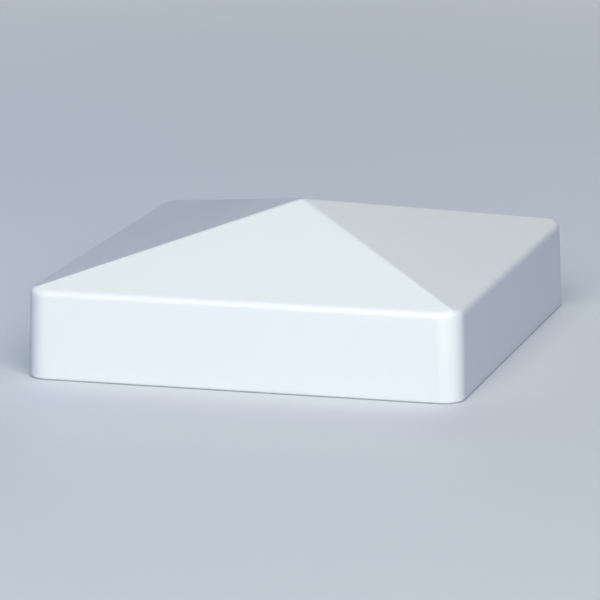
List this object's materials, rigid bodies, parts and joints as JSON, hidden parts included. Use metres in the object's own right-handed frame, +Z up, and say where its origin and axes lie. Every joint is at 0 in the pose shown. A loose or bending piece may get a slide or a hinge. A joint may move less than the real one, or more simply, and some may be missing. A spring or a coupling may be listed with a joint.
{
  "type": "fence post cap",
  "caption": "Square white vinyl cap with a low pyramid roof and rounded edges, fitting over the end of a hollow fence post, with stop gussets and foam pads inside.",
  "frame": {"origin": "centre of the rim, in the plane that the rim rests on", "axes": "+Z up through the apex of the roof; the four skirt faces look along +X, -X, +Y and -Y; the front is the -Y face"},
  "size_m": [0.1342, 0.1342, 0.0443],
  "materials": {
    "vinyl": "semi-gloss white moulded PVC",
    "foam": "matte closed-cell EPDM foam"
  },
  "bodies": {
    "root": {"cap_shell": "vinyl", "pad_front_left": "foam", "pad_front_right": "foam", "pad_right_front": "foam", "pad_right_back": "foam", "pad_back_right": "foam", "pad_back_left": "foam", "pad_left_back": "foam", "pad_left_front": "foam"}
  },
  "joints": []
}
